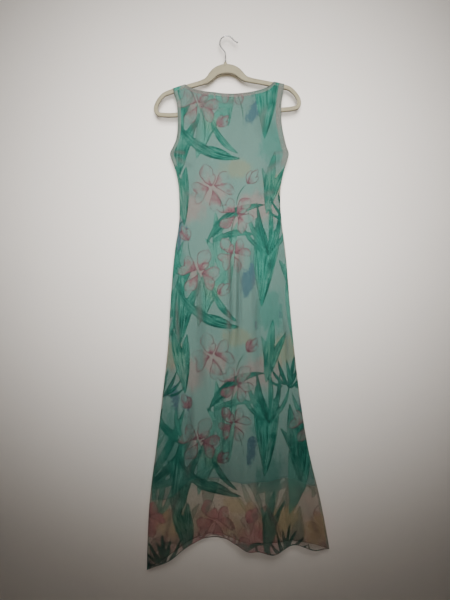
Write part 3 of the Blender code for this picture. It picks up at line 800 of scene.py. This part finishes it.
MESH_THICK = 0.0004
CREASE_SHADE_DEPTH = 0.0040                 # a crease this deep gets the full painted shade
ARMHOLE_BAND = (0.060, 0.100)        # width of the turned edge at the left and right armhole, as a share
NUDE, NUDE_ROSE = (0.262, 0.225, 0.172), (0.290, 0.200, 0.162)
LEAF_LIGHT, LEAF_MID, LEAF_DARK = (0.028, 0.185, 0.135), (0.002, 0.098, 0.067), (0.001, 0.036, 0.026)
JADE_INK, BLUE_INK = (0.020, 0.140, 0.105), (0.022, 0.062, 0.088)
OCHRE_INK, PINK_INK = (0.215, 0.170, 0.078), (0.310, 0.125, 0.122)
SAND_INK = (0.350, 0.272, 0.145)     # the ochre of the border at the hem
PETAL_PALE, PETAL_ROSE = (0.160, 0.168, 0.143), (0.130, 0.050, 0.062)
# the cool ground, and the paler tone painted on it lower down as painted light
COOL_INK, COOL_PAINTED_LIGHT = (0.130, 0.163, 0.134), (0.180, 0.218, 0.184)
ROSE_LINE, STEM_INK = (0.072, 0.023, 0.034), (0.012, 0.050, 0.036)
TURNED = (0.152, 0.134, 0.120)       # the mesh's bare reverse, which a turned edge shows
CREASE_SHADE_INK = (0.085, 0.070, 0.066)       # painted shade: the ink's colour in a deep crease
SHADED = (0.015, 0.020, 0.017)       # what a rolled edge darkens towards, partly for its thick layers and partly as painted shade of the fold
SHEER, INKED = 0.45, 0.84            # how much of the light the bare and the fully inked mesh stop
PRINT_START = {0: (0.0, -0.13), 1: (0.27, -0.11)}    # how far the print is moved on each side
NECK_TURNED = 2.938                  # the value of up where the neck's turned edge begins
BEND_FROM = 2.93                     # the value of up where the cloth begins to bend over the arms
NECK_CORNER = 0.035                  # width of the neckline's ends, where the columns lie closer


def panel_columns():
    """Values of across, closer where the ends of the neck turn over the hanger's arms."""
    left, right = NECK_ENDS
    knots = [-1, left, left + NECK_CORNER, right - NECK_CORNER, right, 1]
    counts = [12, 5, 112, 5, 12]
    runs = [np.linspace(a, b, n, endpoint=False) for a, b, n in zip(knots, knots[1:], counts)]
    return np.concatenate([*runs, [1.0]])


def panel_rows():
    """Values of up, closer where the cloth bends over the hanger's arms."""
    knots, counts = [0, 1, 2, BEND_FROM], [56, 214, 46]
    runs = [np.linspace(a, b, n, endpoint=False) for a, b, n in zip(knots, knots[1:], counts)]
    bend = BEND_FROM + (3 - BEND_FROM) * np.sin(np.linspace(0, math.pi / 2, 13))
    return np.concatenate([*runs, bend])


def flat_place(points, offset):
    """Each point's place on the flat cloth: its distance along its row from the middle, and its height."""
    steps = np.hypot(np.diff(points[..., 0], axis=1), np.diff(points[..., 1], axis=1))
    along = np.concatenate([np.zeros((len(points), 1)), np.cumsum(steps, axis=1)], axis=1)
    middle = points.shape[1] // 2
    start = points[:, middle:middle + 1, 0] - along[:, middle:middle + 1]
    return along + start + offset[0], points[..., 2] + offset[1]


def turned_under(across, up):
    """How much cloth is turned to the inside under each point: none away from the edges, 0.6 along the
    neck, 1 along an armhole and up to 1.6 on the shoulders, in strips 10 to 15 mm wide."""
    shoulder = ease((np.abs(across - NECK_ENDS.mean()) - np.ptp(NECK_ENDS) / 2) / 0.03)
    neck = ease((up - NECK_TURNED) / 0.012) * (0.6 + shoulder)
    band = np.where(across < 0, *ARMHOLE_BAND)
    armhole = ease((np.abs(across) - 1 + band) / 0.015 + 0.5) * ease((up - 1.95) / 0.03)
    return np.maximum(neck, armhole)


def hollow(points, is_back):
    """How deep each point lies in a crease, as a share of the depth that gets the full painted shade."""
    return np.clip(-crease_height(points[..., 0], points[..., 2], is_back) / CREASE_SHADE_DEPTH, 0, 1)


def printed_mesh(name, cover, shade):
    """The mesh's cloth: nude yarn, the print in its inks, and a fine knit. cover is how many layers thick
    it lies, so that a rolled edge stops more light, and shade is how much darker it is painted: partly for
    those layers, partly as painted shade of the rolled fold."""
    made, shader, place = new_material(name, Roughness=0.82, Sheen_Weight=0.06, Specular_IOR_Level=0.2)
    wash, brush, grain = place.noise(30, 4), place.noise(170, 3), place.noise(1500, 1)
    strokes = place.noise(52, 3, (1, 1, 0.16))
    wobble = (wash - 0.5) * 4.0 + (brush - 0.5) * 2.4

    leaf, dark = place.attribute("leaf") + wobble * 0.8, place.attribute("leaf_dark")
    on_leaf = leaf.ramp(0.5, -0.5)
    along, side = place.attribute("leaf_up"), place.attribute("leaf_across")
    lengthways = place.node("ShaderNodeCombineXYZ", {}, {0: side * 2.4, 1: along * 1.5, 2: dark * 9})
    streaks = lengthways.noise(2.6, 4)
    rim = leaf.ramp(-2.2, -0.4) * brush.ramp(0.35, 0.55)
    depth = dark * 0.8 + (streaks - 0.5) * 2.4 + (wash - 0.5) * 1.0 + rim * 0.40 + 0.03
    leaf_ink = depth.ramp(0.45, 1.15).between(depth.ramp(0.0, 0.6).between(LEAF_LIGHT, LEAF_MID), LEAF_DARK)
    leaf_cover = on_leaf * (0.70 + depth.ramp(0.1, 0.9) * 0.30)

    petal, fold = place.attribute("petal") + wobble * 0.55, place.attribute("petal_across")
    on_petal, petal_dark = petal.ramp(0.3, -0.6), place.attribute("petal_dark")
    pressed = (strokes + brush - 1) * 2.2
    line = (petal + 0.8).math("ABSOLUTE").ramp(1.7, 0.5) * (pressed + 0.75).ramp(0.1, 0.6)
    reach = place.attribute("petal_up")
    vein = (fold + (brush - 0.5) * 0.5).math("ABSOLUTE").ramp(0.14, 0.03) * reach.ramp(0.75, 0.35) * on_petal
    border = 1 - place.attribute("cool")
    warmth = border * 0.5 + reach.ramp(0.60, 0.05) * 0.8 + fold.ramp(0.1, 1.0) * 0.5 + petal_dark * 0.3
    blush = on_petal * (warmth - 0.12 + (wash - 0.5) * 3.4).ramp(0.0, 1.0)
    stem = (place.attribute("stem") + wobble * 0.25).ramp(0.5, -0.3)

    streaky = (wash - 0.5) * 0.8 + (strokes - 0.5) * 1.2
    brushed = streaky + (brush - 0.5) * 0.7
    jade = (place.attribute("jade") + brushed).ramp(0.35, 0.75)
    blue = (place.attribute("blue") + brushed * 1.4).ramp(0.40, 0.75)
    ochre = (place.attribute("ochre") + streaky * 0.6).ramp(0.25, 0.75)
    pink = (place.attribute("pink") + streaky * 0.8).ramp(0.15, 0.85)

    ink = wash.ramp(0.46, 0.64).between(NUDE, NUDE_ROSE)
    cool = (place.attribute("cool") + streaky * 0.30).ramp(0.10, 0.90)
    # painted light: the cool ground is painted paler lower down
    ink = cool.between(ink, place.attribute("painted_light_low").between(COOL_INK, COOL_PAINTED_LIGHT))
    ochre, pink = ochre * (1 - cool * 0.40), pink * (1 - cool * 0.45)
    edge = place.attribute("turned")
    for share, over in (
        (ochre * 0.85, cool.between(SAND_INK, OCHRE_INK)),
        (pink * 0.90, PINK_INK),
        (jade * 0.66, JADE_INK),
        (blue * 0.80, BLUE_INK),
        (leaf_cover, leaf_ink),
        (on_petal * 0.55, PETAL_PALE),
        (blush * 0.85, border.between(PETAL_ROSE, PINK_INK)),
        (stem * 0.85, STEM_INK),
        ((line * 0.75 + vein * 0.4).ramp(0, 1), ROSE_LINE),
        (edge.ramp(0.1, 0.6) * edge.ramp(1.5, 0.9) * 0.5, TURNED),
        # painted shade in the creases
        (place.attribute("hollow") * 0.55, CREASE_SHADE_INK),
    ):
        ink = share.between(ink, over)
    # darkened by shade: on a roll partly for its layers, partly as painted shade
    ink = ink.node("ShaderNodeMix", {"data_type": "RGBA"}, {0: shade, 6: ink, 7: (*SHADED, 1)}, output=2)
    cover_ink = leaf_cover * (1 - on_petal * 0.55) + blush * (border * 0.35 + 0.45)
    cover_ink = cover_ink + line * 0.65 + vein * 0.3 + stem * 0.6
    cover_ink = cover_ink + blue * 0.60 + jade * 0.45 + ochre * 0.55 + pink * 0.60
    stopped = SHEER + cover_ink.ramp(0, 1.1) * (INKED - SHEER) + (grain - 0.5) * 0.08
    layers = (edge * 1.6 + 1) * (cover / 2)
    clear = (1 - stopped).math("POWER", layers)
    feed(shader, Base_Color=ink, Alpha=1 - clear, Normal=bump(grain, 0.00012, 0.35))
    return made


sheer_mesh = printed_mesh("printed_mesh", 1, 0.0)
for is_back, name, node in ((0, "front_mesh", "front_panel"), (1, "back_mesh", "back_panel")):
    across, up = np.meshgrid(panel_columns(), panel_rows())
    points = cloth_point(is_back, across, up)
    panel = new_piece(name, points, grid_faces(points, is_back), sheer_mesh)
    paint(panel.data, *flat_place(points, PRINT_START[is_back]), turned=turned_under(across, up),
          hollow=hollow(points, is_back))
    give_thickness(panel, MESH_THICK)
    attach(panel, "root")
    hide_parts(node)


# ---------------------------------------------------------------- the lining
# Front and back of plain mint jersey, opaque, cut a little smaller than the mesh and ending about 20 cm
# above the hem. It is caught in the side and shoulder seams and hangs free of the mesh everywhere else.

LINING_GAP, LINING_THICK = 0.0013, 0.0005
LINING_TOP, LINING_CORNER = 2.944, 0.030
LINING_BARE = 0.015                  # share of each half left bare below the underarm
LINING_APART = 0.0006                # half the least gap between the two linings
MINT, MINT_WORN = (0.032, 0.162, 0.139), (0.026, 0.142, 0.122)


def apart(points, is_back, gap):
    """Keeps one side's points that far from the plane where front and back meet."""
    points[..., 1] = np.maximum(points[..., 1], gap) if is_back else np.minimum(points[..., 1], -gap)
    return points


jersey, jersey_shader, place = new_material(
    "mint_jersey", Roughness=0.78, Sheen_Weight=0.15, Specular_IOR_Level=0.25
)
rib = place.noise(1100, 1, (1, 1, 0.12))
cloudy = place.noise(7, 3)
feed(
    jersey_shader,
    Base_Color=(cloudy.ramp(0.3, 0.75) * 0.7 + rib * 0.3).between(MINT, MINT_WORN),
    Normal=bump(rib, 0.0002, 0.4),
)
both_sides = ((0, "front_lining_cloth", "front_lining"), (1, "back_lining_cloth", "back_lining"))
for is_back, name, node in both_sides:
    rows = np.concatenate([np.linspace(1, 2, 170, endpoint=False), np.linspace(2, LINING_TOP, 50)])
    share, up = np.meshgrid(np.linspace(-1, 1, 108), rows)
    bare = mix(LINING_BARE, np.where(share < 0, *ARMHOLE_BAND), ease((up - 2) / LINING_CORNER))
    across = share * (1 - bare)
    points = cloth_point(is_back, across, up) - LINING_GAP * cloth_normal(is_back, across, up)
    points = apart(points, is_back, LINING_APART)
    lining = new_piece(name, points, grid_faces(points, is_back), jersey)
    give_thickness(lining, LINING_THICK)
    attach(lining, "root")
    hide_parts(node)


# ---------------------------------------------------------------- the turned edges
# At the neck, the armholes and the hem the mesh is rolled twice and stitched, so that it lies about four
# layers thick there and stops more light. The print runs on over the hem's roll, the narrowest. At the
# neck and the armholes the bare reverse of the mesh shows.

ROLL_DEEP = 0.00075                  # half its thickness
ROLL_APART = 0.0001                  # half the least gap between the front's rolls and the back's
ARMHOLE_ROLL, NECK_ROLL, HEM_ROLL = 0.027, 0.026, 0.016    # widths, in across, up and up
# the rolls are painted darker, partly for their layers and partly as painted shade
ROLL_LAYERS, ROLL_SHADE = 3.4, 0.4
BARE = 0.8                           # how much of the bare reverse shows on a roll
STITCHED_AT = 0.82                   # where the stitches run, as a share of a roll's width
rolled_mesh = printed_mesh("rolled_mesh", ROLL_LAYERS, ROLL_SHADE)


def roll(is_back, across, up, inward, sides=14):
    """A flattened tube along a cut edge. across and up run along the edge, and inward is how far its
    other side lies from it in each. Its section is an ellipse, closed at both ends."""
    turn = np.linspace(0, 2 * math.pi, sides, endpoint=False)
    share = (1 - np.cos(turn)) / 2
    at_across = across[:, None] + inward[0] * share
    at_up = up[:, None] + inward[1] * share
    ends = np.minimum(np.arange(len(across)), np.arange(len(across))[::-1])[:, None]
    deep = ROLL_DEEP * np.sqrt(np.clip(1 - (1 - np.clip(ends / 2, 0, 1)) ** 2, 0, 1)) * np.sin(turn)
    normal = cloth_normal(is_back, at_across, at_up)
    points = cloth_point(is_back, at_across, at_up) + deep[..., None] * normal
    return apart(points, is_back, ROLL_APART)


edge_rolls = {0: [], 1: []}
stitch_lines = {0: [], 1: []}
for is_back, side in ((0, "front"), (1, "back")):
    along = np.linspace(0, 1, 90)
    neck = mix(NECK_ENDS[0], NECK_ENDS[1], np.linspace(0, 1, 150))
    hem = np.linspace(-1, 1, 240)
    edges = [
        # the edge's name and its node, the values of across and up along it, inward, how bare it looks
        (f"{side}_neck", f"{side}_neck_edge", neck, 3 + 0 * neck, (0, -NECK_ROLL), BARE),
        (f"{side}_left_armhole", f"{side}_left_armhole_edge",
         0 * along - 1, 2 + along, (ARMHOLE_ROLL, 0), BARE),
        (f"{side}_right_armhole", f"{side}_right_armhole_edge",
         0 * along + 1, 3 - along, (-ARMHOLE_ROLL, 0), BARE),
        (f"{side}_hem", f"{side}_hem", hem, 0 * hem, (0, HEM_ROLL), 0.0),
    ]
    start_x, start_z = PRINT_START[is_back]
    for name, node, across, up, inward, bare in edges:
        points = roll(is_back, across, up, inward)
        piece = new_piece(f"{name}_roll", points, ring_faces(points), rolled_mesh)
        reverse = np.full(points.shape[:2], bare)
        paint(piece.data, points[..., 0] + start_x, points[..., 2] + start_z, turned=reverse)
        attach(piece, "root")
        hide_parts(node)
        edge_rolls[is_back].append(piece)
        stitch_lines[is_back].append((across + inward[0] * STITCHED_AT, up + inward[1] * STITCHED_AT))


# ---------------------------------------------------------------- the side seams
# Front and back are overlocked together at the sides. The narrow allowance lies flat inside, and shows
# through the bare mesh below the lining as a darker strip.

SEAM_WIDE, SEAM_THICK = 0.0070, 0.0005
SEAM_PALE, SEAM_DARK = (0.26, 0.25, 0.20), (0.16, 0.20, 0.165)
allowance, allowance_shader, place = new_material("seam_allowance", Roughness=0.85)
loops = place.noise(700, 1, (1, 1, 0.3))
feed(allowance_shader, Base_Color=loops.ramp(0.3, 0.7).between(SEAM_DARK, SEAM_PALE))
for name, side in (("left_side_seam", -1), ("right_side_seam", 1)):
    up = np.concatenate([np.linspace(0.01, 1, 70, endpoint=False), np.linspace(1, 1.995, 190)])
    edge = (cloth_point(0, side + 0 * up, up) + cloth_point(1, side + 0 * up, up)) / 2
    inner = edge - (side * SEAM_WIDE, 0, 0)
    points = np.stack([mix(edge, inner, t) for t in (0.06, 0.5, 1)], axis=1)
    points[..., 1] = 0
    seam = new_piece(name, points, grid_faces(points, side > 0), allowance)
    give_thickness(seam, SEAM_THICK)
    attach(seam, "root")


# ---------------------------------------------------------------- the stitching
# One line of short machine stitches holds each turned edge down, in a pale thread of about the bare
# mesh's colour. Each stitch dips into the cloth at both ends.

STITCH_LONG, STITCH_WIDE, STITCH_PITCH = 0.0022, 0.0005, 0.0030
STITCH_DIP = 0.0002                  # how far its ends go down into the cloth
THREAD_DARK, THREAD_PALE = (0.20, 0.23, 0.19), (0.30, 0.29, 0.24)
thread, thread_shader, place = new_material("thread", Roughness=0.6)
feed(thread_shader, Base_Color=place.noise(300, 1).between(THREAD_DARK, THREAD_PALE))


def stitches(is_back, across, up):
    """A row of small spindles on the cloth's outside, of six points each: the two ends, and round the
    middle one on each side, one inside and one outside."""
    line = cloth_point(is_back, across, up)
    length = lengths_along(line)
    at = np.arange(STITCH_PITCH, length[-1] - STITCH_PITCH, STITCH_PITCH)
    across, up = np.interp(at, length, across), np.interp(at, length, up)
    middle = cloth_point(is_back, across, up)
    before, after = (np.stack([np.interp(at + step, length, column) for column in line.T], axis=1)
                     for step in (-1e-4, 1e-4))
    ahead = after - before
    ahead /= np.linalg.norm(ahead, axis=1, keepdims=True)
    out = cloth_normal(is_back, across, up)
    aside = np.cross(out, ahead)
    middle = middle + out * ROLL_DEEP * 0.80
    long, wide, dip = ahead * STITCH_LONG / 2, aside * STITCH_WIDE / 2, out * STITCH_DIP
    points = [middle - long - dip, middle + long - dip, middle - wide, middle + wide,
              middle - out * STITCH_WIDE / 2, middle + out * STITCH_WIDE * 0.4]
    return np.stack(points, axis=1).reshape(-1, 3)


# The eight triangles of a stitch, by the numbers of its points
CORNERS = np.array([(0, 5, 2), (2, 5, 1), (1, 5, 3), (3, 5, 0), (0, 2, 4), (2, 1, 4), (1, 3, 4), (3, 0, 4)])
rows = {}
for is_back, side in ((0, "front"), (1, "back")):
    points = np.concatenate([stitches(is_back, *line) for line in stitch_lines[is_back]])
    first = np.arange(0, len(points), 6)[:, None, None]
    rows[is_back] = new_piece(f"{side}_stitches", points, (first + CORNERS).reshape(-1, 3), thread)
    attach(rows[is_back], "root")
